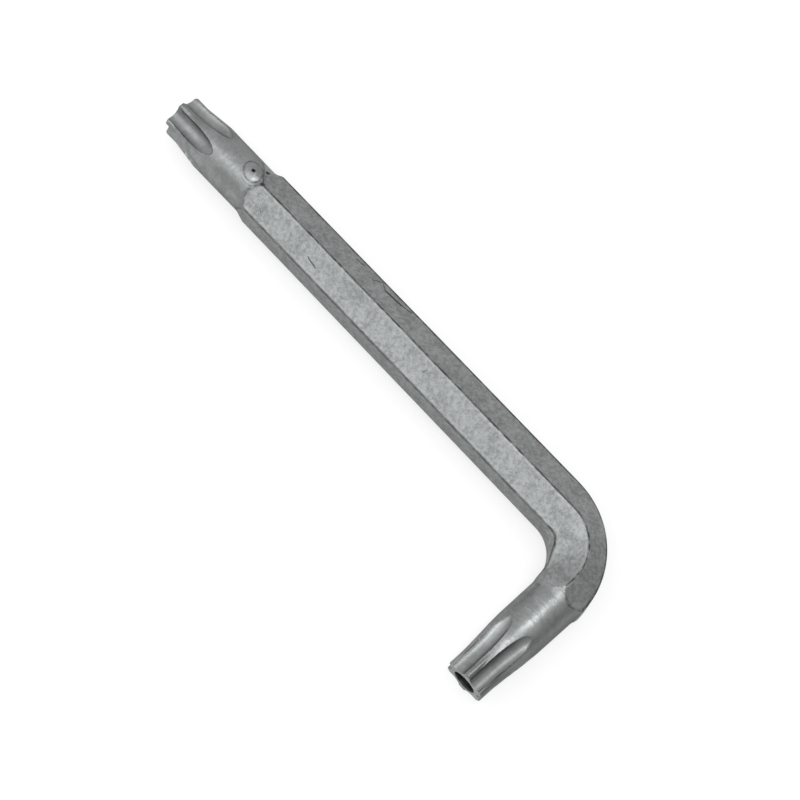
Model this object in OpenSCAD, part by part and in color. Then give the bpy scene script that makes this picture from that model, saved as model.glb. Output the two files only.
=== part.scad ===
// L-shaped star key: one hexagon bar, bent square, with a six-lobe drive formed on each end.
// It lies on two corners of the bar. +Y runs along the long arm to its tip, the short arm
// points to -X and +Z is up. The origin is under the middle of the key, on the surface it lies on.

/* [Bar] */
// Size of the hexagon bar across its flats
bar_af = 6.35; // [6:0.05:7.5]
// Width of the narrow flat that breaks each corner of the bar
corner_flat = 0.24; // [0.1:0.02:0.6]
// Straight bar between the bend and the worked end of the long arm
shank_len = 47.4; // [20:0.1:150]

/* [Bend] */
// Bend radius along the two outer corners of the bar
bend_outer_r = 11; // [8:0.25:14]
// Bend radius along the top and bottom corners, which bending pushes to the outside
bend_ridge_r = 5.7; // [4:0.1:8]
// Bend radius along the two inner corners, as far as the legs leave room for it
bend_inner_r = 4.5; // [2:0.1:6]
// Straight bar left on each side of the bend, past the outer corners
bend_leg = 0.7; // [0.2:0.1:10]

/* [Star drive] */
// Size of the star across opposite lobes
star_od = 5.6; // [5:0.05:6.2]
// Size of the star across opposite flutes
star_root = 4; // [3.6:0.05:4.4]
// Radius of the hollow of each flute
flute_r = 1.19; // [1:0.01:1.4]
// Chamfer round the tip of each star
tip_chamfer = 0.15; // [0.05:0.05:0.5]

/* [Worked ends] */
// Length of each worked end, from its tip to the foot of the shoulder
neck_len = 13.1; // [11:0.1:20]
// Slope of the shoulder, the cone that runs from the neck out to the corners of the bar
shoulder_angle = 20; // [12:1:40]
// Plain bar kept past the foot of the shoulder on the long worked end
long_stub = 2.9; // [2:0.1:10]

/* [Long star end] */
// How much wider the neck is than the star, where the flare ends
long_flare = 0.74; // [0.3:0.02:1.2]
// Length from the tip to the end of the flare
long_flare_len = 5.5; // [4:0.1:9]
// How much wider the neck is than the star, at the foot of the shoulder
long_foot = 0.68; // [0.3:0.02:1.2]
// Straight length of the flutes, from the tip
long_flute_len = 2; // [1:0.1:5]
// Radius of the curve on which the bottom of a flute runs out
long_runout_r = 12; // [8:0.5:20]

/* [Short star end] */
// How much wider the neck is than the star, where the flare ends
short_flare = 0.4; // [0.2:0.05:1.2]
// Length from the tip to the end of the flare
short_flare_len = 6.2; // [4:0.1:9]
// How much wider the neck is than the star, at the foot of the shoulder
short_foot = 0.52; // [0.2:0.02:1.2]
// Straight length of the flutes, from the tip
short_flute_len = 2.6; // [1:0.1:5]
// Radius of the curve on which the bottom of a flute runs out
short_runout_r = 15; // [8:0.5:20]
// Diameter of the hole that takes the pin of a security screw
pin_hole_d = 2.9; // [2:0.05:3.2]
// Depth of the pin hole, without the drill point
pin_hole_depth = 4.5; // [3:0.1:8]

/* [Stake mark] */
// Distance of the stake mark from the tip of the long arm
stake_at = 12.2; // [8:0.1:12.5]
// Turn of the stake mark from straight up towards the outside of the bend, in degrees
stake_turn = 9; // [0:1:30]
// Height of the button that the stake raised on the neck
stake_h = 0.28; // [0.1:0.02:0.4]
// Radius of the button's crown
stake_crown_r = 1.7; // [1:0.1:2.2]
// Diameter of the pit in the button, and of the pit beside it
pit_d = 0.5; // [0.3:0.05:0.8]
// Depth of both pits
pit_depth = 0.4; // [0.2:0.05:0.6]
// Distance of the second pit from the first, along the arm
pit_step = 1; // [0.5:0.1:2]
// Turn of the second pit from straight up, in degrees
pit_turn = 32; // [20:1:45]

/* [Hidden] */
$fn = 96;
overcut = 1;          // how far a cutter starts outside the surface that it cuts
bend_steps = 30;      // facets round the bend
least_leg = 0.1;      // straight bar that is left past every arc of the bend
lobe_lap = 0.015;     // how far a lobe laps into the flutes beside it, so that the arcs cross
drill_angle = 118;    // point angle of the drill that made the pin hole
bar_grey = [0.60, 0.61, 0.61];
star_grey = [0.68, 0.69, 0.69];

// Section of the bar: a hexagon with flats to the inside and outside of the bend and corners on top
// and bottom. Each corner is broken by a narrow flat.
bar_side = bar_af / sqrt(3);
corner_cut = corner_flat / sqrt(3);
bar_half_height = bar_side - corner_cut / 2;
bar_corners = [for (k = [0:5]) bar_side * [cos(30 + 60 * k), sin(30 + 60 * k)]];
bar_section = [for (k = [0:5], part = [corner_cut, bar_side - corner_cut])
    bar_corners[k] + part / bar_side * (bar_corners[(k + 1) % 6] - bar_corners[k])];

// Lengths are measured from the point where the middle lines of the two arms cross.
leg_end = bend_outer_r - bar_af / 2 + bend_leg;
shank_end = leg_end + shank_len;
long_tip = shank_end + long_stub + neck_len;
short_tip = leg_end + neck_len;

// Star: a lobe is an arc that runs into the flutes on both sides of it.
flute_at = star_root / 2 + flute_r;
lobe_fit_r = (pow(star_od / 2, 2) + pow(flute_at, 2) - star_od * flute_at * cos(30) - pow(flute_r, 2))
    / (star_od - 2 * flute_at * cos(30) + 2 * flute_r);
lobe_r = lobe_fit_r + lobe_lap;
lobe_at = star_od / 2 - lobe_r;
arc_meeting = [lobe_at, 0] + lobe_r / (lobe_r + flute_r)
    * (flute_at * [cos(30), sin(30)] - [lobe_at, 0]);
core_r = norm(arc_meeting);

long_flare_r = (star_od + long_flare) / 2;
long_foot_r = (star_od + long_foot) / 2;
short_flare_r = (star_od + short_flare) / 2;
short_foot_r = (star_od + short_foot) / 2;

// Middle of the key's footprint, at the height of the corners that it lies on
outer_x = max(bar_af / 2, long_flare_r, long_foot_r);
middle = [(outer_x - short_tip) / 2, (long_tip - bar_af / 2) / 2, -bar_half_height];

// Radius of the bend along a line of the bar that lies off to the outside of its middle line, as it is set
// and then as far as the legs that it runs into leave room for it
function set_bend_r(off) = bend_ridge_r
    + (off > 0 ? bend_outer_r - bend_ridge_r : bend_ridge_r - bend_inner_r) * off / (bar_af / 2);
function bend_r(off) = min(set_bend_r(off), leg_end + off - least_leg);

// Section of the bar after it has turned by an angle, each point on its own arc
function bent_section(turn) = [for (p = bar_section) let (r = bend_r(p.x))
    [p.x - r * (1 - cos(turn)), r * (1 - sin(turn)) - p.x, p.y]];

// Radius of the long neck at a distance from its tip
function long_neck_r(along) = long_flare_r
    + (long_foot_r - long_flare_r) * (along - long_flare_len) / (neck_len - long_flare_len);

module on_table() {
    translate(-middle) children();
}

// The ends are drawn upright, tip down at the origin, with +Y towards the top of the key.
module at_long_tip() {
    translate([0, long_tip, 0]) rotate([90, 0, 0]) children();
}

module at_short_tip() {
    translate([-short_tip, 0, 0]) rotate([90, 0, 90]) children();
}

// Cutter of one flute: straight from the tip, then out of the neck on a curve
module flute(straight, runout_r, neck_r) {
    turn_r = runout_r - flute_r;
    turn = acos(1 - (neck_r + overcut - star_root / 2) / runout_r);
    translate([flute_at, 0, -overcut]) cylinder(r = flute_r, h = straight + overcut);
    translate([flute_at + turn_r, 0, straight])
        mirror([1, 0, 0])
            rotate([90, 0, 0])
                rotate_extrude(angle = turn) translate([turn_r, 0]) circle(r = flute_r);
}

// Neck and star of one worked end
module star_end(flare_r, flare_len, foot_r, flute_len, runout_r) {
    rim_r = star_od / 2;
    difference() {
        union() {
            rotate_extrude()
                polygon([[0, 0], [core_r, 0], [flare_r, flare_len], [foot_r, neck_len], [0, neck_len]]);
            for (k = [0:5])
                rotate(30 + 60 * k) translate([lobe_at, 0, 0]) cylinder(r = lobe_r, h = flare_len);
        }
        for (k = [0:5])
            rotate(60 * k) flute(flute_len, runout_r, flare_r);
        rotate_extrude()
            polygon([[rim_r - tip_chamfer - overcut, -overcut], [rim_r + overcut, -overcut],
                [rim_r + overcut, tip_chamfer + overcut]]);
    }
}

// Ring that turns the corners off the bar, from the foot of the shoulder outwards
module shoulder_cut(foot_r) {
    rise = (bar_side - foot_r) / tan(shoulder_angle);
    rotate_extrude()
        polygon([[foot_r, neck_len - overcut], [bar_side, neck_len - overcut],
            [bar_side, neck_len + rise], [foot_r, neck_len]]);
}

// Conical pit in the neck, with its mouth at a radius
module pit(turn, along, mouth_r) {
    spread = pit_d / 2 / pit_depth;
    rotate(-turn)
        translate([0, mouth_r - pit_depth, along])
            rotate([-90, 0, 0])
                cylinder(r1 = 0, r2 = spread * (pit_depth + overcut), h = pit_depth + overcut);
}

module hex_shank() {
    color(bar_grey) on_table()
        translate([0, leg_end, 0]) rotate([-90, 0, 0]) linear_extrude(shank_len) polygon(bar_section);
}

module elbow() {
    sides = len(bar_section);
    rings = [
        [for (p = bar_section) [p.x, leg_end, p.y]],
        for (i = [0:bend_steps]) bent_section(90 * i / bend_steps),
        [for (p = bar_section) [-leg_end, -p.x, p.y]]
    ];
    last = (len(rings) - 1) * sides;
    walls = [for (ring = [0:len(rings) - 2], i = [0:sides - 1]) let (a = ring * sides, j = (i + 1) % sides)
        [a + i, a + j, a + sides + j, a + sides + i]];
    long_face = [for (i = [sides - 1:-1:0]) i];
    short_face = [for (i = [0:sides - 1]) last + i];
    color(bar_grey) on_table()
        difference() {
            polyhedron([for (ring = rings, p = ring) p], [long_face, each walls, short_face]);
            at_short_tip() shoulder_cut(short_foot_r);
        }
}

module long_star_end() {
    stake_r = long_neck_r(stake_at) + stake_h;
    second_at = stake_at + pit_step;
    color(star_grey) on_table() at_long_tip()
        difference() {
            union() {
                star_end(long_flare_r, long_flare_len, long_foot_r, long_flute_len, long_runout_r);
                difference() {
                    translate([0, 0, neck_len]) linear_extrude(long_stub) polygon(bar_section);
                    shoulder_cut(long_foot_r);
                }
                rotate(-stake_turn)
                    translate([0, stake_r - stake_crown_r, stake_at]) sphere(r = stake_crown_r);
            }
            pit(stake_turn, stake_at, stake_r);
            pit(pit_turn, second_at, long_neck_r(second_at));
        }
}

module short_star_end() {
    hole_r = pin_hole_d / 2;
    point_h = hole_r / tan(drill_angle / 2);
    color(star_grey) on_table() at_short_tip()
        difference() {
            star_end(short_flare_r, short_flare_len, short_foot_r, short_flute_len, short_runout_r);
            translate([0, 0, -overcut]) cylinder(r = hole_r, h = pin_hole_depth + overcut);
            translate([0, 0, pin_hole_depth]) cylinder(r1 = hole_r, r2 = 0, h = point_h);
        }
}

hex_shank();
elbow();
long_star_end();
short_star_end();
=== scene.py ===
"""Looks of the star key: four skins over the CAD solids, satin plated steel and a pale studio."""

import math

import bmesh
import bpy
import numpy as np
from mathutils import Matrix, Vector


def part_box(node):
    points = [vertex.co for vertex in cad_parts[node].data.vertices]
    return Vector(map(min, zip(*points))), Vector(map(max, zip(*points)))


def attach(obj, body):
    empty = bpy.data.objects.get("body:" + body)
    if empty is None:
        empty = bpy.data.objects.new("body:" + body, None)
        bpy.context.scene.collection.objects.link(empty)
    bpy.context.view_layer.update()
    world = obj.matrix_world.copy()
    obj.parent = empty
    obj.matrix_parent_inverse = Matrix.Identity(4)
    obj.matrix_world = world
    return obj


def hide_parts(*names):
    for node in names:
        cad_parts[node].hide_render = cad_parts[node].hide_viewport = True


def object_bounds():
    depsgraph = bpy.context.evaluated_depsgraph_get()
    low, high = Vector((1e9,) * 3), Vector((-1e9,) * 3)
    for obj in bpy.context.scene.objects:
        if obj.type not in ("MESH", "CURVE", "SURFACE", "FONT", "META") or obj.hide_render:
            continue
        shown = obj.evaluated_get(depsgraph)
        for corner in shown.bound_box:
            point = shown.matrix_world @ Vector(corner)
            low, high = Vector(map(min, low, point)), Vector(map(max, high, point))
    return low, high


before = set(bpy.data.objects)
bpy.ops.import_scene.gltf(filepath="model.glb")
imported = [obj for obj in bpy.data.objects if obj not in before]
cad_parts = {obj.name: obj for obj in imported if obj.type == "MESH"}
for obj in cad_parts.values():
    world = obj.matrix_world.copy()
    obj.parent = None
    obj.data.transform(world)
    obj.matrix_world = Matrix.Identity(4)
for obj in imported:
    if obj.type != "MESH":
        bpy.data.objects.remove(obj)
cad_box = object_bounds()

MM = 0.001
SIXTH_TURN = math.pi / 3

# Sizes in millimetres. The CAD boxes give the places, and these repeat the shapes inside them.
shank_lo, shank_hi = (np.array(c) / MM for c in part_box("hex_shank"))
LONG_AXIS_X = (shank_lo[0] + shank_hi[0]) / 2
AXIS_Z = (shank_lo[2] + shank_hi[2]) / 2
BAR_AF = shank_hi[0] - shank_lo[0]
BAR_SIDE = BAR_AF / math.sqrt(3)
CORNER_R = (BAR_SIDE - (shank_hi[2] - AXIS_Z)) / (2 / math.sqrt(3) - 1)
SHORT_AXIS_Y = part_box("elbow")[0].y / MM + BAR_AF / 2
LONG_TIP_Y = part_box("long_star_end")[1].y / MM
SHORT_TIP_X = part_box("short_star_end")[0].x / MM
LEG_END = shank_lo[1] - SHORT_AXIS_Y
STUB_END = LONG_TIP_Y - shank_hi[1]

BEND_OUTER_R = 11.0
BEND_RIDGE_R = 5.7
BEND_INNER_R = 4.5
RIDGE_BLEND = 0.35

# Fold inside the bend, which presses the inner upper corner off, and the swelling on the flat beside it.
# Their places and reaches are angles round the bend and round the bar.
FOLD_AT = math.radians(31)
FOLD_LONG = math.radians(28)
FOLD_FACING = math.radians(-75)
FOLD_SIDE = 1.0
SWELL_AT = math.radians(38)
SWELL_LONG = math.radians(24)
SWELL_TURN = math.radians(-40)
SWELL_WIDE = math.radians(32)

# Width of the fold, the way beside the corner over which its line moves, how much darker that line gets with
# painted shade in the fold, and the height of the swelling
FOLD_WIDTH = 0.5
FOLD_REACH = 1.2
FOLD_DARKER = 0.4
SWELL_H = 0.22

STAR_OD = 5.6
STAR_ROOT = 4.0
FLUTE_R = 1.19
LOBE_LAP = 0.015
LOBE_BLEND = 0.03
TIP_CHAMFER = 0.15
CHAMFER_ROUND = 0.04
NECK_LEN = 13.1
SHOULDER_SLOPE = 0.5
SHOULDER_BLEND = 0.9
SHOULDER_REACH = 2.4
EDGE_ROUND = 0.07
FLUTE_ROUND = 0.13

# Radii between which the wall of a flute is looked for, and the numbers of tries for it and for the
# star's core
FLUTE_SEARCH = (STAR_ROOT / 2 - 0.05, BAR_SIDE + 0.3)
FLUTE_TRIES = 260
CORE_TRIES = 400

# Softer stretch of the short arm's shoulder: its rounding, and its turn and reach in degrees
SOFT_SHOULDER = 0.45
SOFT_SHOULDER_TURN = -32
SOFT_SHOULDER_WIDE = 20

LONG_END = dict(flare_r=3.17, flare_len=5.5, foot_r=3.14, flute_len=2.0, runout_r=12.0, crease_to=9)
SHORT_END = dict(flare_r=3.0, flare_len=6.2, foot_r=3.06, flute_len=2.6, runout_r=15.0, crease_to=11)

PIN_HOLE_R = 1.45
PIN_HOLE_DEPTH = 4.5
PIN_HOLE_ROUND = 0.05
PIN_HOLE_STEPS = np.linspace(0.3, PIN_HOLE_DEPTH, 12)
DRILL_POINT = PIN_HOLE_R / math.tan(math.radians(59))
DRILL_STEPS = (0.35, 0.7, 0.96)

# Shares of the way from an end face's outline in to the circle in its middle, and the long end's circle
LONG_FACE_STEPS = (0.12, 0.4, 0.7, 1)
LONG_FACE_R = 0.3
SHORT_FACE_STEPS = (0.15, 0.5, 0.85, 1)

STAKE_AT = 12.2
STAKE_TURN = math.radians(9)
STAKE_H = 0.28
STAKE_LONG = 1.42
STAKE_WIDE = 1.12
STAKE_LEAN = math.radians(32)
STAKE_NECK_R = np.interp(STAKE_AT, [LONG_END["flare_len"], NECK_LEN],
                         [LONG_END["flare_r"], LONG_END["foot_r"]])

# Painted shade in dark rings at the stake button's foot and further out. Places and widths are shares of its
# outline, and the outer ring fades in over a length.
STAKE_FOOT_WIDTH = 0.09
STAKE_FOOT_DARK = 0.75
STAKE_RING_AT = 1.34
STAKE_RING_WIDTH = 0.08
STAKE_RING_DARK = 0.6
STAKE_RING_FADE = 0.8

# Pits in the stake button and beside it: the power that shapes their walls, the angle in radians up to which
# they are followed round the neck, and the depth at which their painted shade is full
PIT_R = 0.28
PIT_DEPTH = 0.4
PIT_WALL = 1.3
PIT_SIDE = 1.2
PIT_SHADE_DEPTH = 0.05
SECOND_PIT_AT = 13.25
SECOND_PIT_TURN = math.radians(36)
SECOND_PIT_STRETCH = 1.15

# Dark nick at the start of the ridge, and the dark line that runs on from it
RIDGE_NICK_AT = 14.3
RIDGE_NICK_R = 0.24
RIDGE_NICK_ASIDE = 0.05
RIDGE_NICK_SQUEEZE = 0.8
RIDGE_NICK_DARK = 1.7
RIDGE_START_WIDTH = 0.1
RIDGE_START_LONG = 1.2

# Dark line that ends the outer top flat at the long neck: it leans from the ridge towards the tip, and fades
# round the bar. Its turns are in degrees.
SHEAR_FOOT = 14.4
SHEAR_LEAN = 0.051
SHEAR_TURNS = (2, 75)
SHEAR_WIDTH = 0.11
SHEAR_DARK = 0.8
SHEAR_FADE = (20, 50), (1.0, 0.5)

# Widths over which masks change, where one finish meets the next and beside creases, and how dark the
# painted shade with some dirt in the flutes' creases is
FINISH_EDGE = 0.04
FLUTE_CREASE = 0.06
SHOULDER_CREASE = 0.05
FLUTE_CREASE_DARK = 0.45

# The long end's shoulder is looked for from this far before the end of its neck, and the bar's flats from
# this far behind its tip
SHOULDER_START = 0.2
FLATS_FROM = 10

# Painted shade on the necks and the stars round the bar, where they face away from the light: turns in
# degrees and the shares there
LONG_NECK_SHADE = (-46, -34, -26, -16, 12, 40, 68, 110, 170), (0, 0.4, 0.4, 0, 0, 0.28, 0.5, 0.5, 0)
SHORT_NECK_SHADE = (26, 52, 110, 170), (0, 0.6, 0.6, 0)
LONG_STAR_SHADE = (-26, -18, 0, 8, 14), (0, 0.35, 0.4, 0.4, 0)
SHORT_STAR_SHADE = (-10, 0, 10, 18, 28, 36, 44, 60, 80, 100), (0, 0.6, 0.7, 0.75, 0, 0.2, 0.6, 0.8, 0.8, 0)

# Ways from the tip between which a star's painted shade gives way to its neck's
STAR_SHADE_FROM = 3.5
STAR_SHADE_TO = 5.5

# Lines round the bar in degrees, from straight up towards the outside of the bend. They stand closer on the
# upper side.
UPPER_SIDE = 105
UPPER_STEP = 0.75
LOWER_STEP = 1.5
AROUND = np.radians(np.concatenate([np.arange(-UPPER_SIDE, UPPER_SIDE, UPPER_STEP),
                                    np.arange(UPPER_SIDE, 360 - UPPER_SIDE, LOWER_STEP)]))
TURN = (AROUND + math.pi) % (2 * math.pi) - math.pi
NECK_WAY = TURN * BAR_AF / 2
FAR = 9.0

# Stretches of rings along the worked ends, as (start, end, step) from the tip. The rings stand closer at the
# tips and round the stake mark. Their ways are rounded, so that no ring comes twice.
LONG_STRETCHES = ((0, 0.24, 0.03), (0.24, 10.6, 0.1), (10.6, 14.9, 0.05), (14.9, STUB_END, 0.1))
SHORT_STRETCHES = ((0, 0.24, 0.03), (0.24, NECK_LEN, 0.1))
RING_DECIMALS = 4

# Rings of the bar: along the shank, along the bend's two legs, and in degrees round the bend, where they
# stand closer towards its end. The last value is the way that the plating's marks count from ring to ring.
SHANK_RINGS = 49
LONG_LEG_RINGS = 6
SHORT_LEG_RINGS = 16
BEND_STRETCHES = ((0, 66, 1), (66, 90.1, 0.6))
BEND_RING_WAY = 0.15

# How dark and how wide the line along each corner of the bar is, counted from the ridge
CORNER_LINES = {0: (1.0, 1.2), 1: (1.6, 2.7), -1: (0.66, 1.6), 2: (0.6, 1.0), -2: (0.6, 1.0), 3: (0.5, 1.0),
                -3: (0.5, 1.0)}

SHARP_EDGE = math.radians(50)


def soft_min(a, b, width):
    """Smaller of two sizes, with the edge between them rounded."""
    share = np.clip(0.5 + 0.5 * (b - a) / width, 0, 1)
    return b * (1 - share) + a * share - width * share * (1 - share)


def soft_max(a, b, width):
    """Larger of two sizes, with the corner between them rounded."""
    return -soft_min(-a, -b, width)


def soft_line(away, width):
    """Mask that is 1 on a line and fades to both sides of it."""
    return np.exp(-(away / width)**2)


def past(over):
    """Mask that goes from 0 to 1 where a value passes zero."""
    return np.clip(over / FINISH_EDGE + 0.5, 0, 1)


def from_nearest(turn, step, start=0.0):
    """Angle from the nearest of the directions that repeat every step."""
    return (turn - start + step / 2) % step - step / 2


def bar_radius(turn):
    """Radius of the rounded hexagon bar."""
    off_corner = np.abs(from_nearest(turn, SIXTH_TURN))
    flat = BAR_AF / 2 / np.cos(SIXTH_TURN / 2 - off_corner)
    arc_at = BAR_SIDE - CORNER_R * 2 / math.sqrt(3)
    inside = np.maximum(CORNER_R**2 - (arc_at * np.sin(off_corner))**2, 0)
    arc = arc_at * np.cos(off_corner) + np.sqrt(inside)
    touch = math.atan2(CORNER_R / 2, BAR_SIDE - CORNER_R / 2 / math.sqrt(3))
    return np.where(off_corner < touch, arc, flat)


def bar_outline():
    """Way round the bar's outline from its ridge, way from the nearest corner, and that corner's mark."""
    flat = np.floor(TURN / SIXTH_TURN)
    off = TURN - (flat + 0.5) * math.pi / 3
    way = BAR_SIDE * (flat + 0.5) + BAR_AF / 2 * np.tan(off)
    corner = np.round(way / BAR_SIDE)
    marks, widths = np.array([CORNER_LINES[int(number)] for number in corner]).T
    return way, np.abs(way - corner * BAR_SIDE) / widths, marks


BAR_WAY, CORNER_AWAY, CORNER_MARK = bar_outline()


def lobe_radius(turn):
    """Radius of the star's lobes, which run into the flutes."""
    flute_at = STAR_ROOT / 2 + FLUTE_R
    cosine = math.cos(SIXTH_TURN / 2)
    top = (STAR_OD / 2)**2 + flute_at**2 - STAR_OD * flute_at * cosine - FLUTE_R**2
    lobe_r = top / (STAR_OD - 2 * flute_at * cosine + 2 * FLUTE_R) + LOBE_LAP
    lobe_at = STAR_OD / 2 - lobe_r
    off = from_nearest(turn, SIXTH_TURN)
    inside = lobe_r**2 - (lobe_at * np.sin(off))**2
    return np.where(inside > 0, lobe_at * np.cos(off) + np.sqrt(np.maximum(inside, 0)), 0)


def flute_radius(turn, along, sizes):
    """Distance from the arm's middle line at which each direction runs out into a flute."""
    flute_at = STAR_ROOT / 2 + FLUTE_R
    turn_r = sizes["runout_r"] - FLUTE_R
    reach = np.linspace(*FLUTE_SEARCH, FLUTE_TRIES)
    off = from_nearest(turn, SIXTH_TURN, SIXTH_TURN / 2)[None, :, None]
    up = np.maximum(along - sizes["flute_len"], 0)[:, None, None]
    to_middle = flute_at + turn_r - reach * np.cos(off)
    clear = (np.hypot(to_middle, up) - turn_r)**2 + (reach * np.sin(off))**2 - FLUTE_R**2
    cut = clear < 0
    first = np.argmax(cut, axis=2)
    hit = cut.any(axis=2) & (first > 0)
    before = np.maximum(first - 1, 0)
    outside = np.take_along_axis(clear, before[..., None], 2)[..., 0]
    inside = np.take_along_axis(clear, first[..., None], 2)[..., 0]
    step = reach[1] - reach[0]
    return np.where(hit, reach[before] + step * outside / np.where(hit, outside - inside, 1), FAR)


def star_core_radius():
    """Radius at which a lobe meets a flute, at the tip."""
    turn = np.linspace(0, SIXTH_TURN / 2, CORE_TRIES)
    gap = lobe_radius(turn) - flute_radius(turn, np.zeros(1), LONG_END)[0]
    return float(lobe_radius(turn)[np.argmax(gap > 0)])


def star_end(along, sizes):
    """Radius of a worked end over (along, around), with masks for its flutes, and the painted shade with
    some dirt along its creases.
    """
    from_tip = along[:, None]
    core = star_core_radius()
    neck = np.interp(along, [0, sizes["flare_len"], NECK_LEN],
                     [core, sizes["flare_r"], sizes["foot_r"]])[:, None]
    lobes = np.where(from_tip <= sizes["flare_len"], lobe_radius(AROUND)[None, :], 0)
    body = soft_max(neck, lobes, LOBE_BLEND)
    flute = flute_radius(AROUND, along, sizes)
    radius = soft_min(body, flute, FLUTE_ROUND)
    chamfer = STAR_OD / 2 - TIP_CHAMFER + from_tip
    radius = soft_min(radius, chamfer, CHAMFER_ROUND)
    # Painted shade with some dirt along the flutes' creases
    crease = FLUTE_CREASE_DARK * soft_line(body - flute, FLUTE_CREASE) * (from_tip < sizes["crease_to"])
    return radius, past(body - flute), crease


def end_rings(stretches):
    """Ways of a worked end's rings from its tip, from stretches of (start, end, step)."""
    ways = [np.arange(*stretch) for stretch in stretches] + [[stretches[-1][1]]]
    return np.unique(np.round(np.concatenate(ways), RING_DECIMALS))


def shoulder_rise(way):
    """How far a shoulder rises over the neck, on a curve that starts level with it."""
    way = np.maximum(way, 0)
    curved = way**2 / (2 * SHOULDER_BLEND)
    straight = way - SHOULDER_BLEND / 2
    return SHOULDER_SLOPE * np.where(way < SHOULDER_BLEND, curved, straight)


def pit_depth(along, radius, at, turn, stretch=1.0):
    """How deep a pit goes below the neck, with a soft rim. stretch is how much wider than long it is."""
    across = radius * np.sin(np.clip(AROUND[None, :] - turn, -PIT_SIDE, PIT_SIDE)) / stretch
    away = np.hypot(along[:, None] - at, across) / PIT_R
    return PIT_DEPTH * np.clip(1 - away, 0, 1)**PIT_WALL


def long_arm(radius, along):
    """Points of the long arm from radii over (along from its tip, around)."""
    x = LONG_AXIS_X + radius * np.sin(AROUND)
    y = np.broadcast_to((LONG_TIP_Y - along)[:, None], radius.shape)
    return np.stack([x, y, AXIS_Z + radius * np.cos(AROUND)], axis=2)


def short_arm(radius, along):
    """Points of the short arm from radii over (along from its tip, around)."""
    x = np.broadcast_to((SHORT_TIP_X + along)[:, None], radius.shape)
    y = SHORT_AXIS_Y - radius * np.sin(AROUND)
    return np.stack([x, y, AXIS_Z + radius * np.cos(AROUND)], axis=2)


def by_face(values):
    """Average of a value for each point over the four points of each face."""
    across = (values + np.roll(values, -1, axis=1)) / 2
    return (across[1:] + across[:-1]) / 2


def skin(name, rings, masks, finishes):
    """Closed mesh over rings of points. masks are values for each point, and finishes the material
    numbers of the strips between two rings, or of the faces in them."""
    count, sides = rings.shape[:2]
    finishes = np.broadcast_to(np.asarray(finishes).reshape(count - 1, -1), (count - 1, sides))
    points = [tuple(p) for p in (rings.reshape(-1, 3) * MM)]
    points += [tuple(rings[0].mean(0) * MM), tuple(rings[-1].mean(0) * MM)]
    faces = []
    numbers = []
    for ring in range(count - 1):
        here = ring * sides
        beyond = here + sides
        for i in range(sides):
            j = (i + 1) % sides
            faces.append((here + i, here + j, beyond + j, beyond + i))
            numbers.append(int(finishes[ring, i]))
    last = (count - 1) * sides
    for i in range(sides):
        j = (i + 1) % sides
        faces += [(count * sides, j, i), (count * sides + 1, last + i, last + j)]
        numbers += [int(finishes[0, i]), int(finishes[-1, i])]
    mesh = bpy.data.meshes.new(name)
    mesh.from_pydata(points, [], faces)
    for label, values in masks.items():
        attribute = mesh.attributes.new(label, "FLOAT", "POINT")
        ends = [float(values[0].mean()), float(values[-1].mean())]
        attribute.data.foreach_set("value", np.append(values.ravel(), ends).astype(np.float32))
    mesh.polygons.foreach_set("material_index", numbers)
    mesh.polygons.foreach_set("use_smooth", [True] * len(faces))
    shell = bmesh.new()
    shell.from_mesh(mesh)
    bmesh.ops.recalc_face_normals(shell, faces=shell.faces)
    shell.to_mesh(mesh)
    shell.free()
    mesh.set_sharp_from_angle(angle=SHARP_EDGE)
    piece = bpy.data.objects.new(name, mesh)
    bpy.context.scene.collection.objects.link(piece)
    return piece


def surface_masks(shape, **values):
    """Values for each point of a skin. A mask that isn't given is blank, and a corner far away."""
    labels = dict(corner=FAR, corner_mark=0.0, crease=0.0, turned=0.0, hollow=0.0, dirt=0.0, dull=0.0,
                  along=0.0, around=0.0)
    labels.update(values)
    return {label: np.broadcast_to(value, shape) for label, value in labels.items()}


def joined_masks(arm, beyond):
    """Masks of an arm, whose rings are turned round to run to the tip, and of the rings beyond it."""
    return {label: np.concatenate([values[::-1], beyond[label]]) for label, values in arm.items()}


def dulled(turns, shares):
    """Painted shade round the bar, from shares at turns in degrees."""
    return np.interp(np.degrees(TURN), turns, shares)[None, :]


def dull_end(from_tip, turned, hollow, neck, star):
    """Painted shade on a worked end: its star and flutes by one row of shares, its neck by another."""
    fading = (STAR_SHADE_TO - from_tip) / (STAR_SHADE_TO - STAR_SHADE_FROM)
    on_star = np.maximum(hollow, np.clip(fading, 0, 1))
    return dulled(*neck) * turned * (1 - on_star) + dulled(*star) * on_star


def crease_share(outer_top, inner_top, others):
    """How dark the painted shade with some dirt in the shoulder's crease is round the bar."""
    share = np.where((TURN > 0) & (TURN < SIXTH_TURN), outer_top, others)
    return np.where((TURN <= 0) & (TURN > -SIXTH_TURN), inner_top, share)[None, :]


def make_shank():
    """Skin of the plain bar."""
    y = shank_hi[1] + (shank_lo[1] - shank_hi[1]) * np.linspace(0, 1, SHANK_RINGS)
    radius = np.broadcast_to(bar_radius(AROUND), (len(y), len(AROUND)))
    rings = long_arm(radius, LONG_TIP_Y - y)
    masks = surface_masks(radius.shape, corner=CORNER_AWAY, corner_mark=CORNER_MARK, around=BAR_WAY,
                          along=(LONG_TIP_Y - y)[:, None])
    return skin("shank", rings, masks, [0] * (len(y) - 1))


def bend_radius(off):
    """Bend radius of a line of the bar that lies off to the outside of its middle line."""
    half = BAR_AF / 2
    outer = BEND_RIDGE_R + (BEND_OUTER_R - BEND_RIDGE_R) * off / half
    inner = BEND_RIDGE_R + (BEND_RIDGE_R - BEND_INNER_R) * off / half
    return soft_max(outer, inner, RIDGE_BLEND) - RIDGE_BLEND / 4


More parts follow.
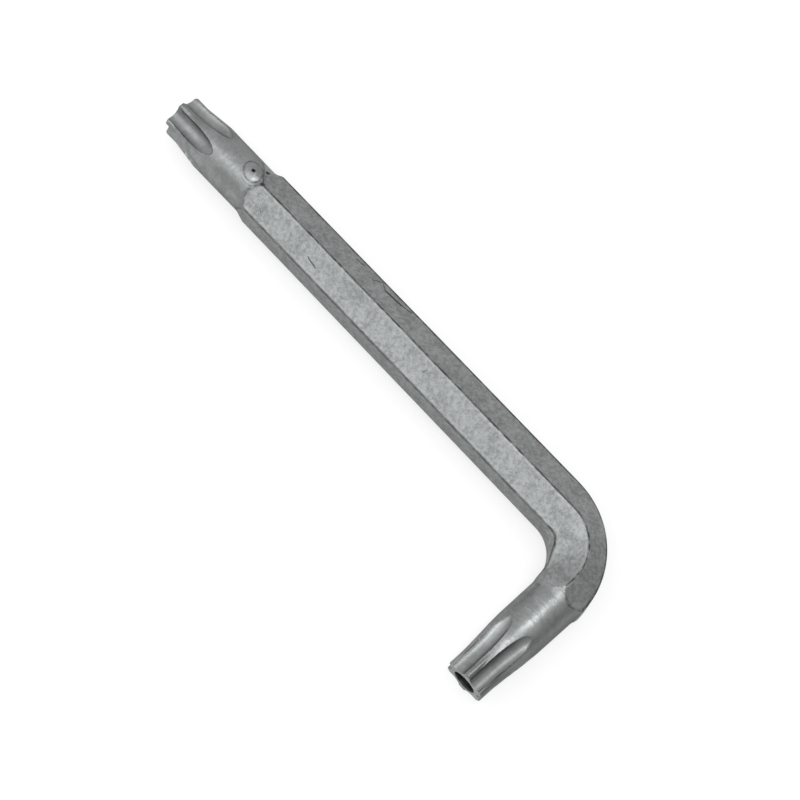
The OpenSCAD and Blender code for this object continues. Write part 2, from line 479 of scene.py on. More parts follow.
def bend_rings():
    """Rings of the bent bar from the long arm to the short one, and how far the bar is bent at each."""
    radius = bar_radius(AROUND)
    off = radius * np.sin(AROUND)
    up = radius * np.cos(AROUND)
    bend_r = bend_radius(off)
    angles = np.radians(np.concatenate([np.arange(*stretch) for stretch in BEND_STRETCHES]))
    start = np.stack([off, np.full_like(off, LEG_END), up], 1)
    bend = [np.stack([off - bend_r * (1 - np.cos(angle)), bend_r * (1 - np.sin(angle)) - off, up], 1)
            for angle in angles]
    end = np.stack([np.full_like(off, -LEG_END), -off, up], 1)
    long_shares = np.linspace(0, 1, LONG_LEG_RINGS + 1)[:-1]
    long_leg = [start + (bend[0] - start) * share for share in long_shares]
    short_shares = np.linspace(0, 1, SHORT_LEG_RINGS + 1)[1:]
    short_leg = [bend[-1] + (end - bend[-1]) * share for share in short_shares]
    bent = [angles[0]] * LONG_LEG_RINGS + list(angles) + [angles[-1]] * SHORT_LEG_RINGS
    return np.array(long_leg + bend + short_leg), np.array(bent)[:, None]


def fold_and_swelling(bent):
    """How far the fold and the swelling move the bent bar's skin outwards, and how far the fold presses the
    inner upper corner off."""
    radius = bar_radius(AROUND)
    pressed = FOLD_WIDTH * np.clip(1 - ((bent - FOLD_AT) / FOLD_LONG)**2, 0, 1)**2
    reach = BAR_SIDE * math.cos(FOLD_FACING + SIXTH_TURN) - pressed * math.sin(-SIXTH_TURN / 2 - FOLD_FACING)
    fold = reach / np.cos(np.clip(TURN - FOLD_FACING, -FOLD_SIDE, FOLD_SIDE))
    from_swell = np.hypot((bent - SWELL_AT) / SWELL_LONG, (TURN - SWELL_TURN) / SWELL_WIDE)
    swelling = SWELL_H * np.clip(1 - from_swell**2, 0, 1)**3
    return soft_min(radius, fold, EDGE_ROUND / 2) - radius + swelling, pressed


def make_elbow():
    """Skin of the bent bar, with its fold and the short arm's shoulder."""
    rings, bent = bend_rings()
    lift, pressed = fold_and_swelling(bent)
    outwards = np.sin(AROUND)
    upwards = np.broadcast_to(np.cos(AROUND), lift.shape)
    rings += lift[..., None] * np.stack([outwards * np.cos(bent), -outwards * np.sin(bent), upwards], 2)
    from_inner = BAR_WAY + BAR_SIDE
    near_inner = np.abs(from_inner) < FOLD_REACH
    inner_width = CORNER_LINES[-1][1]
    corner = np.where(near_inner, np.abs(from_inner - pressed) / inner_width, CORNER_AWAY)
    # The fold deepens the inner corner's dark line with painted shade
    corner_mark = np.minimum(CORNER_MARK + near_inner * FOLD_DARKER * pressed / FOLD_WIDTH, 1)

    from_foot = rings[..., 0] + LEG_END
    near_foot = from_foot < SHOULDER_REACH
    distance = np.hypot(rings[..., 1], rings[..., 2])
    cone = SHORT_END["foot_r"] + shoulder_rise(from_foot)
    softer = soft_line(np.degrees(TURN) - SOFT_SHOULDER_TURN, SOFT_SHOULDER_WIDE)
    rounded = soft_min(distance, cone, EDGE_ROUND + SOFT_SHOULDER * softer)
    scale = np.where(near_foot, rounded, distance) / distance
    rings[..., 1] *= scale
    rings[..., 2] *= scale
    over = np.where(near_foot, distance - cone, -FAR)
    turned = past(over)
    # Painted shade with some dirt along the shoulder's crease
    crease = soft_line(over, SHOULDER_CREASE) * crease_share(outer_top=0.9, inner_top=0.03, others=0.4)
    along = LONG_TIP_Y - SHORT_AXIS_Y - LEG_END + np.arange(len(rings)) * BEND_RING_WAY
    masks = surface_masks(scale.shape, corner=np.where(turned > 0.5, FAR, corner), corner_mark=corner_mark,
                          crease=crease, turned=turned, dull=dulled(*SHORT_NECK_SHADE) * turned, around=BAR_WAY,
                          along=np.where(turned > 0.5, NECK_LEN + from_foot, along[:, None]))
    rings += np.array([LONG_AXIS_X, SHORT_AXIS_Y, AXIS_Z])
    # Materials: 0 on the bar, 1 on the shoulder
    return skin("elbow_bend", rings, masks, by_face(turned) > 0.5)


def round_circle(outwards, upwards):
    """Directions round an arm's middle line, one for each line round the bar."""
    return np.sin(AROUND)[:, None] * outwards + np.cos(AROUND)[:, None] * upwards


def end_face_rings(outline, middle, inner_r, circle, steps):
    """Rings that close an end face from its outline in to a circle."""
    inner = middle + inner_r * circle
    return [outline + (inner - outline) * share for share in steps]


def stake_mark(from_tip, crease):
    """Height of the stake button over the long neck, and the creases with the painted shade at its foot and
    in its second ring.
    """
    round_way = STAKE_NECK_R * from_nearest(AROUND[None, :], 2 * math.pi, STAKE_TURN)
    lengthwise = (from_tip - STAKE_AT) * math.cos(STAKE_LEAN) - round_way * math.sin(STAKE_LEAN)
    sideways = (from_tip - STAKE_AT) * math.sin(STAKE_LEAN) + round_way * math.cos(STAKE_LEAN)
    away = np.hypot(lengthwise / STAKE_LONG, sideways / STAKE_WIDE)
    foot = STAKE_FOOT_DARK * soft_line(away - 1, STAKE_FOOT_WIDTH)
    ring = STAKE_RING_DARK * soft_line(away - STAKE_RING_AT, STAKE_RING_WIDTH)
    ring = ring * np.clip(lengthwise / STAKE_RING_FADE, 0, 1)
    crease = np.max([np.where(away < 1, 0, crease), foot, ring], axis=0)
    return STAKE_H * np.clip(1 - away**2, 0, 1), crease


def ridge_dirt(from_tip):
    """Dark nick where the ridge starts, and the dark line that runs on from it."""
    across = TURN[None, :] * BAR_SIDE - RIDGE_NICK_ASIDE
    from_nick = np.hypot((from_tip - RIDGE_NICK_AT) * RIDGE_NICK_SQUEEZE, across) / RIDGE_NICK_R
    nick = np.clip(RIDGE_NICK_DARK * np.exp(-from_nick**2), 0, 1)
    fading = np.clip((STUB_END - from_tip) / RIDGE_START_LONG, 0, 1) * (from_tip > RIDGE_NICK_AT)
    return np.maximum(nick, soft_line(BAR_WAY[None, :], RIDGE_START_WIDTH) * fading)


def beyond_shear(from_tip):
    """Way past the slanting line that ends the outer top flat, and how dark that line is."""
    degrees = np.degrees(TURN)[None, :]
    low, high = SHEAR_TURNS
    beyond = np.where((degrees > low) & (degrees < high), from_tip - SHEAR_FOOT + SHEAR_LEAN * degrees, -FAR)
    return beyond, SHEAR_DARK * (soft_line(beyond, SHEAR_WIDTH) * np.interp(degrees, *SHEAR_FADE))


def make_long_end():
    """Skin of the long arm's worked end, with the start of the bar, the stake mark and its two pits."""
    along = end_rings(LONG_STRETCHES)
    from_tip = along[:, None]
    radius, hollow, crease = star_end(np.minimum(along, NECK_LEN), LONG_END)
    radius = radius + shoulder_rise(from_tip - NECK_LEN)
    bar = bar_radius(AROUND)[None, :]
    shoulder = from_tip > NECK_LEN - SHOULDER_START
    over = np.where(shoulder, radius - bar, FAR)
    radius = np.where(shoulder, soft_min(radius, bar, EDGE_ROUND), radius)
    turned = np.where(shoulder, past(-over), 1 - hollow)
    on_bar = (turned < 0.5) & (from_tip > NECK_LEN)
    # Painted shade with some dirt along the shoulder's crease
    shoulder_crease = np.where(from_tip > NECK_LEN + SHOULDER_CREASE, soft_line(over, SHOULDER_CREASE), 0)
    crease = np.maximum(crease, shoulder_crease * crease_share(outer_top=0.1, inner_top=0.6, others=0.5))
    beyond, shear = beyond_shear(from_tip)
    turned = np.where(beyond > 0, 0, turned)
    hollow = hollow * (from_tip < NECK_LEN)

    # The stake button, with painted shade in rings at its foot and further out
    raised, crease = stake_mark(from_tip, crease)
    pits = pit_depth(along, STAKE_NECK_R + STAKE_H, STAKE_AT, STAKE_TURN)
    pits = pits + pit_depth(along, STAKE_NECK_R, SECOND_PIT_AT, SECOND_PIT_TURN, SECOND_PIT_STRETCH)
    radius = radius + raised - pits
    # Painted shade in the pits, beside the dark nick and the dark lines of the ridge and of the shear
    dirt = np.max([np.clip(pits / PIT_SHADE_DEPTH, 0, 1), ridge_dirt(from_tip), shear], axis=0)
    rings = long_arm(radius, along)[::-1]
    masks = surface_masks(radius.shape, corner=np.where(on_bar, CORNER_AWAY, FAR), corner_mark=CORNER_MARK,
                          crease=crease, turned=turned, hollow=hollow, dirt=dirt,
                          dull=dull_end(from_tip, turned, hollow, LONG_NECK_SHADE, LONG_STAR_SHADE), along=from_tip,
                          around=np.where(on_bar, BAR_WAY, NECK_WAY))
    circle = round_circle(np.array([1, 0, 0]), np.array([0, 0, 1]))
    middle = np.array([LONG_AXIS_X, LONG_TIP_Y, AXIS_Z])
    tip = end_face_rings(rings[-1], middle, LONG_FACE_R, circle, LONG_FACE_STEPS)
    masks = joined_masks(masks, surface_masks((len(tip), len(AROUND))))
    # Materials: 0 on the bar's flats, 1 on the worked end, 2 on the end face
    on_flats = (by_face(turned[::-1]) < 0.5) & (along[::-1][1:, None] > FLATS_FROM)
    kinds = np.concatenate([np.where(on_flats, 0, 1), np.full((len(tip), len(AROUND)), 2)])
    return skin("long_star", np.concatenate([rings, tip]), masks, kinds)


def make_short_end():
    """Skin of the short arm's worked end, with the drilled pin hole."""
    along = end_rings(SHORT_STRETCHES)
    from_tip = along[:, None]
    radius, hollow, crease = star_end(along, SHORT_END)
    rings = short_arm(radius, along)[::-1]
    masks = surface_masks(radius.shape, crease=crease, turned=1 - hollow, hollow=hollow,
                          dull=dull_end(from_tip, 1 - hollow, hollow, SHORT_NECK_SHADE, SHORT_STAR_SHADE),
                          along=from_tip, around=NECK_WAY)
    middle = np.array([SHORT_TIP_X, SHORT_AXIS_Y, AXIS_Z])
    inwards = np.array([1, 0, 0])
    circle = round_circle(np.array([0, -1, 0]), np.array([0, 0, 1]))
    face = end_face_rings(rings[-1], middle, PIN_HOLE_R + PIN_HOLE_ROUND, circle, SHORT_FACE_STEPS)
    bore_depths = np.concatenate([[PIN_HOLE_ROUND], PIN_HOLE_STEPS])
    bore = [middle + inwards * depth + circle * PIN_HOLE_R for depth in bore_depths]
    bore += [middle + inwards * (PIN_HOLE_DEPTH + DRILL_POINT * share) + circle * PIN_HOLE_R * (1 - share)
             for share in DRILL_STEPS]
    depths = np.concatenate([[0] * len(face), bore_depths, [PIN_HOLE_DEPTH] * len(DRILL_STEPS)])
    masks = joined_masks(masks, surface_masks((len(depths), len(AROUND)), along=depths[:, None]))
    # Materials: 0 on the worked end, 1 on the end face, 2 in the bore
    kinds = [0] * (len(along) - 1) + [1] * len(face) + [2] * len(bore)
    return skin("short_star", np.concatenate([rings, face, bore]), masks, kinds)


shank = make_shank()
elbow_bend = make_elbow()
long_star = make_long_end()
short_star = make_short_end()
SKINS = ((shank, "hex_shank", "drawn_bar"), (elbow_bend, "elbow", "drawn_bar"),
         (long_star, "long_star_end", "formed_end"), (short_star, "short_star_end", "formed_end"))
for piece, node, slot in SKINS:
    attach(piece, "root")
    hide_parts(node)


# Materials

def put(tree, kind, settings=None, **inputs):
    """Adds a node. Its inputs are given by name, or by number as in0, in1 and so on. A socket is linked to
    its input, and any other value is set there."""
    made = tree.nodes.new(kind)
    for key, value in (settings or {}).items():
        setattr(made, key, value)
    for key, value in inputs.items():
        socket = made.inputs[int(key[2:])] if key.startswith("in") else made.inputs[key.replace("_", " ")]
        if isinstance(value, bpy.types.NodeSocket):
            tree.links.new(value, socket)
        else:
            socket.default_value = value
    return made


def sums(tree, operation, a, b=0.0, c=0.0, clamp=False):
    """Result of a sum on values. Only a product with a sum uses the third."""
    inputs = dict(in0=a, in1=b)
    if operation == "MULTIPLY_ADD":
        inputs["in2"] = c
    return put(tree, "ShaderNodeMath", dict(operation=operation, use_clamp=clamp), **inputs).outputs[0]


def vectors(tree, operation, **inputs):
    """Node for a sum on vectors."""
    return put(tree, "ShaderNodeVectorMath", dict(operation=operation), **inputs)


def between(tree, value, low, high, to_low=0.0, to_high=1.0):
    """Smooth step from one value to another while a value goes from low to high."""
    made = put(tree, "ShaderNodeMapRange", dict(interpolation_type="SMOOTHSTEP"), in0=value, in1=low,
               in2=high, in3=to_low, in4=to_high)
    return made.outputs[0]


def surface_value(tree, label):
    """One of the values that a skin holds for each point."""
    return put(tree, "ShaderNodeAttribute", dict(attribute_name=label)).outputs["Fac"]


def in_millimetres(tree):
    """Place on the key in millimetres."""
    place = put(tree, "ShaderNodeTexCoord").outputs["Object"]
    return vectors(tree, "SCALE", in0=place, Scale=1 / MM).outputs[0]


def cloud(tree, place, scale, detail=3.0, roughness=0.55):
    """Cloudy noise."""
    return put(tree, "ShaderNodeTexNoise", None, Vector=place, Scale=scale, Detail=detail,
               Roughness=roughness).outputs["Fac"]


def swayed(tree, moved, place, scale, amount):
    """Moves a place by slow noise, by an amount in each direction."""
    noise = put(tree, "ShaderNodeTexNoise", None, Vector=place, Scale=scale, Detail=2.0).outputs["Color"]
    return vectors(tree, "MULTIPLY_ADD", in0=noise, in1=amount, in2=moved).outputs[0]


def group(name, inputs, outputs):
    """New shared effect, with its inputs and outputs."""
    tree = bpy.data.node_groups.new(name, "ShaderNodeTree")
    for label, value in inputs.items():
        socket = tree.interface.new_socket(label, in_out="INPUT", socket_type="NodeSocketFloat")
        socket.default_value = value
    for label in outputs:
        tree.interface.new_socket(label, in_out="OUTPUT", socket_type="NodeSocketFloat")
    return tree, tree.nodes.new("NodeGroupInput").outputs, tree.nodes.new("NodeGroupOutput").inputs


def plating_mottle_group():
    """Cloudy plating: faint blotches, finer spots and the grain that they leave."""
    tree, given, out = group("plating_mottle", {"Blotch": 1.0, "Spot": 1.0}, ("Shade", "Height"))
    place = in_millimetres(tree)
    blotch = cloud(tree, place, scale=0.5, detail=3.0, roughness=0.5)
    blotch = between(tree, blotch, low=0.3, high=0.7, to_low=-1.0)
    spot = cloud(tree, place, scale=2.1, detail=5.0, roughness=0.8)
    spot = between(tree, spot, low=0.3, high=0.7, to_low=-1.0)
    shade = sums(tree, "MULTIPLY", blotch, given["Blotch"])
    shade = sums(tree, "MULTIPLY_ADD", spot, given["Spot"], shade)
    tree.links.new(shade, out["Shade"])
    tree.links.new(cloud(tree, place, scale=4.0, detail=4.0, roughness=0.65), out["Height"])
    return tree


# Sway of the dark corner lines, patches in them for each millimetre along the bar and round it, and the way
# from a corner to the painted highlight line
CORNER_LINE_SWAY = 0.08
PATCHES_ALONG = 0.5
PATCHES_AROUND = 0.9
HIGHLIGHT_LINE_AWAY = 0.26


def edge_marks_group():
    """Dark lines along the bar's corners, painted shade with some dirt along creases, and a thin painted
    highlight beside the corners of the inner top flat."""
    tree, given, out = group("edge_marks", {"Width": 0.14, "Crease": 1.0}, ("Dark", "Bright"))
    place = in_millimetres(tree)
    around = surface_value(tree, "around")
    flow_along = sums(tree, "MULTIPLY", surface_value(tree, "along"), PATCHES_ALONG)
    flow_around = sums(tree, "MULTIPLY", around, PATCHES_AROUND)
    flow = put(tree, "ShaderNodeCombineXYZ", None, X=flow_along, Y=flow_around).outputs[0]
    patch = cloud(tree, flow, scale=1.0, detail=4.0, roughness=0.62)
    patch = between(tree, patch, low=0.36, high=0.6, to_low=0.4)
    wander = sums(tree, "SUBTRACT", cloud(tree, place, scale=2.2), 0.5)
    away = sums(tree, "MULTIPLY_ADD", wander, CORNER_LINE_SWAY, surface_value(tree, "corner"))
    line = sums(tree, "DIVIDE", away, given["Width"])
    line = between(tree, line, low=0.3, high=1.2, to_low=1.0, to_high=0.0)
    line = sums(tree, "MULTIPLY", line, patch)
    line = sums(tree, "MULTIPLY", line, surface_value(tree, "corner_mark"))
    fray = cloud(tree, place, scale=1.7, detail=4.0, roughness=0.6)
    fray = between(tree, fray, low=0.36, high=0.62, to_low=0.3)
    # Painted shade with some dirt along the creases, frayed by noise
    crease = sums(tree, "MULTIPLY", surface_value(tree, "crease"), given["Crease"])
    crease = sums(tree, "MULTIPLY", crease, fray)
    tree.links.new(sums(tree, "MAXIMUM", line, crease, clamp=True), out["Dark"])
    # Painted highlight: a thin bright line beside the corners of the inner top flat, in patches
    beside = sums(tree, "ABSOLUTE", sums(tree, "SUBTRACT", away, HIGHLIGHT_LINE_AWAY))
    highlight = between(tree, beside, low=0.02, high=0.13, to_low=1.0, to_high=0.0)
    on_flat = sums(tree, "MULTIPLY", sums(tree, "LESS_THAN", around, 0.0),
                   sums(tree, "GREATER_THAN", around, -BAR_SIDE))
    highlight_patches = cloud(tree, place, scale=2.4, detail=4.0, roughness=0.65)
    highlight_patches = between(tree, highlight_patches, low=0.42, high=0.64)
    highlight = sums(tree, "MULTIPLY", highlight, on_flat)
    tree.links.new(sums(tree, "MULTIPLY", highlight, highlight_patches), out["Bright"])
    return tree


# Sway that makes the specks' outlines uneven, and how much their sizes differ
SPECK_SWAY = (0.35, 0.35, 0.35)
SPECK_SIZES = 0.2


def dark_specks_group():
    """Small dark specks and pits in the plating."""
    tree, given, out = group("dark_specks", {"Amount": 0.3, "Scale": 1.1}, ("Mask",))
    place = in_millimetres(tree)
    place = swayed(tree, place, place, scale=3.0, amount=SPECK_SWAY)
    cells = put(tree, "ShaderNodeTexVoronoi", dict(feature="F1"), Vector=place, Scale=given["Scale"])
    size = sums(tree, "MULTIPLY", cells.outputs["Color"], SPECK_SIZES)
    dot = sums(tree, "SUBTRACT", cells.outputs["Distance"], size)
    dot = between(tree, dot, low=-0.08, high=0.06, to_low=1.0, to_high=0.0)
    draw = put(tree, "ShaderNodeSeparateColor", None, Color=cells.outputs["Color"]).outputs[1]
    chosen = sums(tree, "LESS_THAN", draw, given["Amount"])
    tree.links.new(sums(tree, "MULTIPLY", dot, chosen), out["Mask"])
    return tree


# Turning marks for each millimetre round the neck, where they are long, and their sway
TURNING_AROUND = 0.45
TURNING_SWAY = (0.9, 0.9, 0.9)


def turning_marks_group():
    """Fine rings that forming and turning leave round a neck."""
    tree, given, out = group("turning_marks", {"Pitch": 2.2}, ("Height",))
    place = in_millimetres(tree)
    along = sums(tree, "MULTIPLY", surface_value(tree, "along"), given["Pitch"])
    around = sums(tree, "MULTIPLY", surface_value(tree, "around"), TURNING_AROUND)
    line = put(tree, "ShaderNodeCombineXYZ", None, X=along, Y=around).outputs[0]
    line = swayed(tree, line, place, scale=0.9, amount=TURNING_SWAY)
    tree.links.new(cloud(tree, line, scale=1.0, detail=3.0, roughness=0.6), out["Height"])
    return tree


MOTTLE = plating_mottle_group()
EDGES = edge_marks_group()
SPECKS = dark_specks_group()
TURNING = turning_marks_group()

# Scratches on the shank's two upper flats: ends as (way from the long tip, way round from the ridge), half
# width and darkness
SCRATCHES = (
    ((24.3, -2.08), (25.8, -2.36), 0.11, 0.75),
    ((16.0, -2.15), (16.5, -2.48), 0.07, 0.5),
    ((31.2, 2.23), (32.1, 3.20), 0.1, 0.7),
    ((32.15, 3.15), (33.1, 2.54), 0.09, 0.65),
    ((33.1, 2.54), (35.7, 2.73), 0.15, 0.95),
    ((35.7, 2.73), (37.0, 3.11), 0.11, 0.8),
    ((28.0, 2.76), (29.2, 3.00), 0.12, 0.7),
    ((43.3, -1.79), (43.5, -1.26), 0.06, 0.55))

# Sway of the scratches, the half widths between which they fade, and their depth in metres
SCRATCH_SWAY = Vector((0.16, 0.16, 0.0))
SCRATCH_CORE = 0.35
SCRATCH_EDGE = 1.25
SCRATCH_DEPTH = 0.00002

STEEL_TINT = (0.963, 1.0, 0.998)

# How marks and painted light change the plating: levels of the painted highlight, of the painted shade and
# of the dark marks as shares of its own, how much specks count, how much of the grain the flutes lose, and
# steps of roughness
HIGHLIGHT_SHARE = 1.3
SHADE_SHARE = 0.5
DARK_SHARE = 0.2
SPECK_SHARE = 0.5
FLUTE_SMOOTHER = 0.85
CLOUDY_ROUGHER = 0.05
DARK_ROUGHER = 0.15
FLUTE_ROUGHER = 0.07


def use(tree, shared, **values):
    """Places a shared effect in a material, with values of its own."""
    made = tree.nodes.new("ShaderNodeGroup")
    made.node_tree = shared
    for key, value in values.items():
        made.inputs[key].default_value = value
    return made.outputs


def mix(tree, share, a, b):
    """Mixes two colours."""
    return put(tree, "ShaderNodeMix", dict(data_type="RGBA"), in0=share, in6=a, in7=b).outputs[2]


def grey(level, tint=(1.0, 1.0, 1.0)):
    """Grey of a level, with a tint."""
    return tuple(level * part for part in tint) + (1.0,)


def scratch_lines(tree):
    """Dark scratches on the flats, each the way from a straight line between two places."""
    spot = put(tree, "ShaderNodeCombineXYZ", None, X=surface_value(tree, "along"),
               Y=surface_value(tree, "around")).outputs[0]
    spot = swayed(tree, spot, in_millimetres(tree), scale=1.8, amount=SCRATCH_SWAY)
    dark = None
    for start, end, half, strength in SCRATCHES:
        start = Vector((*start, 0.0)) + SCRATCH_SWAY / 2
        step = Vector((*end, 0.0)) + SCRATCH_SWAY / 2 - start
        reach = vectors(tree, "SUBTRACT", in0=spot, in1=start).outputs[0]
        share = vectors(tree, "DOT_PRODUCT", in0=reach, in1=step / step.length_squared).outputs["Value"]
        share = sums(tree, "ADD", share, 0.0, clamp=True)
        nearest = vectors(tree, "SCALE", in0=step, Scale=share).outputs[0]
        away = vectors(tree, "DISTANCE", in0=reach, in1=nearest).outputs["Value"]
        line = between(tree, away, low=SCRATCH_CORE * half, high=SCRATCH_EDGE * half, to_low=strength,
                       to_high=0.0)
        dark = line if dark is None else sums(tree, "MAXIMUM", dark, line)
    return dark


def plated_steel(name, level, spread, roughness, rim, mottle, specks, grain, turning=0.0, scratched=False):
    """Satin plated steel: mottled grey with dark corner lines, specks and a fine grain, a painted highlight
    beside corners, and painted shade in creases, in pits and on the necks. rim is how much the steel
    brightens at a grazing view. grain and turning are depths in metres."""
    made = bpy.data.materials.new(name)
    made.use_nodes = True
    tree = made.node_tree
    tree.nodes.clear()
    cloudy = use(tree, MOTTLE, **mottle)
    edges = use(tree, EDGES)
    spots = use(tree, SPECKS, **specks)
    shade = between(tree, cloudy["Shade"], low=-1.0, high=1.0)
    colour = mix(tree, shade, grey(level - spread, STEEL_TINT), grey(level + spread, STEEL_TINT))
    # Painted highlight beside the corners
    colour = mix(tree, edges["Bright"], colour, grey(level * HIGHLIGHT_SHARE, STEEL_TINT))
    dark = sums(tree, "MAXIMUM", edges["Dark"], sums(tree, "MULTIPLY", spots["Mask"], SPECK_SHARE))
    # Painted shade in the pits, and the dark nick and lines
    dark = sums(tree, "MAXIMUM", dark, surface_value(tree, "dirt"), clamp=True)
    height = sums(tree, "MULTIPLY", cloudy["Height"], grain)
    if scratched:
        scratches = scratch_lines(tree)
        dark = sums(tree, "MAXIMUM", dark, scratches)
        height = sums(tree, "MULTIPLY_ADD", scratches, -SCRATCH_DEPTH, height)
    if turning:
        turned = surface_value(tree, "turned")
        outside = sums(tree, "MULTIPLY_ADD", surface_value(tree, "hollow"), -FLUTE_SMOOTHER, 1.0)
        height = sums(tree, "MULTIPLY", height, outside)
        height = sums(tree, "MULTIPLY_ADD", use(tree, TURNING)["Height"],
                      sums(tree, "MULTIPLY", turned, turning), height)
        # Painted shade on the necks and the stars, darker where they face away from the light
        colour = mix(tree, surface_value(tree, "dull"), colour, grey(level * SHADE_SHARE, STEEL_TINT))
    colour = mix(tree, dark, colour, grey(level * DARK_SHARE, STEEL_TINT))
    rough = sums(tree, "MULTIPLY_ADD", shade, -CLOUDY_ROUGHER, roughness + CLOUDY_ROUGHER / 2)
    rough = sums(tree, "MULTIPLY_ADD", dark, DARK_ROUGHER, rough)
    rough = sums(tree, "MULTIPLY_ADD", surface_value(tree, "hollow"), FLUTE_ROUGHER, rough)
    bump = put(tree, "ShaderNodeBump", None, Height=height, Distance=1.0, Strength=1.0)
    shader = put(tree, "ShaderNodeBsdfPrincipled", None, Base_Color=colour, Roughness=rough, Metallic=1.0,
                 Normal=bump.outputs[0])
    shader.inputs["Specular Tint"].default_value = grey(rim)
    put(tree, "ShaderNodeOutputMaterial", None, Surface=shader.outputs[0])
    return made


bar_steel = plated_steel("drawn_bar_plating", level=0.229, spread=0.06, roughness=0.42, rim=0.7,
                         mottle=dict(Blotch=0.3, Spot=0.8), specks=dict(Amount=0.3, Scale=0.9),
                         grain=0.000012, scratched=True)
end_steel = plated_steel("formed_end_plating", level=0.238, spread=0.036, roughness=0.36, rim=0.5,
                         mottle=dict(Blotch=0.6, Spot=0.6), specks=dict(Amount=0.15, Scale=0.9),
                         grain=0.000006, turning=0.00007)
face_steel = plated_steel("cut_end_face", level=0.25, spread=0.04, roughness=0.45, rim=0.9,
                          mottle=dict(Blotch=0.5, Spot=0.9), specks=dict(Amount=0.2, Scale=1.2),
                          grain=0.000012)
# Painted shade: the bore's steel is made nearly black
bore_shade_steel = plated_steel("drilled_bore_shade", level=0.05, spread=0.02, roughness=0.5, rim=0.6,
                          mottle=dict(Blotch=0.8, Spot=0.8), specks=dict(Amount=0.4, Scale=1.2),
                          grain=0.000012, turning=0.000016)

for piece, finishes in ((shank, (bar_steel,)), (elbow_bend, (bar_steel, end_steel)),
                        (long_star, (bar_steel, end_steel, face_steel)),
                        (short_star, (end_steel, face_steel, bore_shade_steel))):
    for finish in finishes:
        piece.data.materials.append(finish)


# Studio: pale floor, white surroundings that fall to half in front, two soft lights

FLOOR_HALF = 3.0
FLOOR_LEVEL = 0.85
FLOOR_GLOW = 0.7

# The surroundings go from dim to white along a direction, between two heights on it
WHITE_TOWARDS = (0.0, 0.8, 0.6)
DIM_BELOW = -0.7
WHITE_ABOVE = 0.2
DIM_LEVEL = 0.5
DIM_TINT = (1.0, 1.0, 0.95)


def make_floor():
    """Pale paper under the key, which glows a little to the camera."""
    half = FLOOR_HALF
    corners = [(-half, -half, 0), (half, -half, 0), (half, half, 0), (-half, half, 0)]
    mesh = bpy.data.meshes.new("floor")
    mesh.from_pydata(corners, [], [(0, 1, 2, 3)])
    floor = bpy.data.objects.new("floor", mesh)
    bpy.context.scene.collection.objects.link(floor)
    paper = bpy.data.materials.new("studio_paper")
    paper.use_nodes = True
    tree = paper.node_tree
    tree.nodes.clear()
    lit = put(tree, "ShaderNodeBsdfDiffuse", None, Color=grey(FLOOR_LEVEL))
    glow = put(tree, "ShaderNodeEmission", None, Color=grey(1.0), Strength=1.0)
    share = sums(tree, "MULTIPLY", put(tree, "ShaderNodeLightPath").outputs["Is Camera Ray"], FLOOR_GLOW)
    seen = put(tree, "ShaderNodeMixShader", None, in0=share, in1=lit.outputs[0], in2=glow.outputs[0])
    put(tree, "ShaderNodeOutputMaterial", None, Surface=seen.outputs[0])
    mesh.materials.append(paper)


def make_world():
    """White surroundings, dimmer and warmer towards the front of the short arm. The camera sees white."""
    world = bpy.data.worlds.new("white_surroundings")
    bpy.context.scene.world = world
    world.use_nodes = True
    tree = world.node_tree
    tree.nodes.clear()
    towards = put(tree, "ShaderNodeTexCoord").outputs["Generated"]
    height = vectors(tree, "DOT_PRODUCT", in0=towards, in1=WHITE_TOWARDS).outputs["Value"]
    share = put(tree, "ShaderNodeMapRange", None, in0=height, in1=DIM_BELOW, in2=WHITE_ABOVE, in3=0.0,
                in4=1.0).outputs[0]
    share = sums(tree, "MAXIMUM", share, put(tree, "ShaderNodeLightPath").outputs["Is Camera Ray"])
    colour = mix(tree, share, grey(DIM_LEVEL, DIM_TINT), grey(1.0))
    sky = put(tree, "ShaderNodeBackground", None, Color=colour, Strength=1.0)
    put(tree, "ShaderNodeOutputWorld", None, Surface=sky.outputs[0])


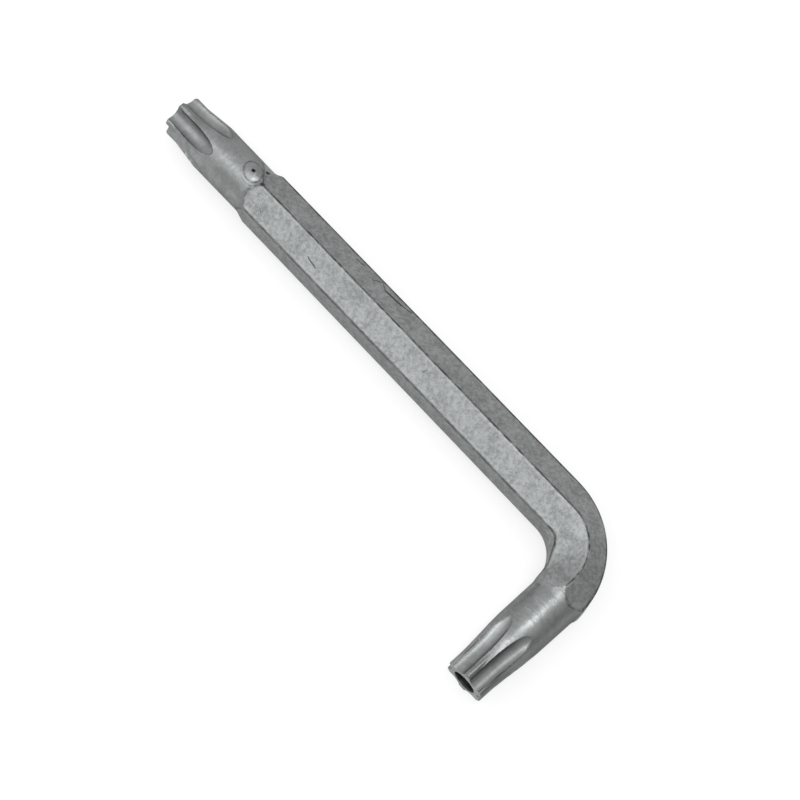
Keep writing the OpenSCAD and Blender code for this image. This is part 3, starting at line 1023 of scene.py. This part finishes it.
def soft_light(name, towards, distance, width, depth, radiance):
    """Area lamp that faces the key from a direction. depth lies along the long arm."""
    lamp = bpy.data.lights.new(name, "AREA")
    lamp.shape = "RECTANGLE"
    lamp.size = width
    lamp.size_y = depth
    lamp.energy = radiance * math.pi * width * depth
    holder = bpy.data.objects.new(name, lamp)
    bpy.context.scene.collection.objects.link(holder)
    back = Vector(towards).normalized()
    across = Vector((0, 1, 0)).cross(back).normalized()
    middle = (cad_box[0] + cad_box[1]) / 2
    turn = Matrix((across, back.cross(across), back)).transposed().to_4x4()
    holder.matrix_world = Matrix.Translation(middle + back * distance) @ turn


make_floor()
make_world()
soft_light("side_soft_box", towards=(-0.40, 0.42, 0.815), distance=0.6, width=0.5, depth=0.55, radiance=1.1)
soft_light("top_strip", towards=(-0.09, -0.165, 0.982), distance=0.61, width=0.66, depth=0.18, radiance=4.5)


# Camera, fitted to the edges of the key in the photograph. Distance and target are in millimetres.

CAMERA_AZIMUTH = math.radians(-55.0563)
CAMERA_ELEVATION = math.radians(68.8256)
CAMERA_ROLL = math.radians(13.2304)
CAMERA_DISTANCE = 226.5012
CAMERA_TARGET = Vector((4.4028, -5.9297, 3.5968))
CAMERA_LENS = 90.0
CAMERA_SENSOR = 36.0
CAMERA_NEAR = 0.01
CAMERA_FAR = 20.0


def make_camera():
    """Camera that looks at its target from an azimuth and an elevation, rolled about its own axis."""
    back = Vector((math.sin(CAMERA_AZIMUTH) * math.cos(CAMERA_ELEVATION),
                   -math.cos(CAMERA_AZIMUTH) * math.cos(CAMERA_ELEVATION), math.sin(CAMERA_ELEVATION)))
    level = Vector((math.cos(CAMERA_AZIMUTH), math.sin(CAMERA_AZIMUTH), 0))
    right = math.cos(CAMERA_ROLL) * level + math.sin(CAMERA_ROLL) * back.cross(level)
    up = back.cross(right)
    camera = bpy.data.objects.new("camera", bpy.data.cameras.new("camera"))
    camera.data.lens = CAMERA_LENS
    camera.data.sensor_width = CAMERA_SENSOR
    camera.data.clip_start = CAMERA_NEAR
    camera.data.clip_end = CAMERA_FAR
    bpy.context.scene.collection.objects.link(camera)
    place = (CAMERA_TARGET + back * CAMERA_DISTANCE) * MM
    camera.matrix_world = Matrix.Translation(place) @ Matrix((right, up, back)).transposed().to_4x4()
    bpy.context.scene.camera = camera


make_camera()

bpy.context.scene.view_settings.view_transform = "Standard"

bpy.context.view_layer.update()
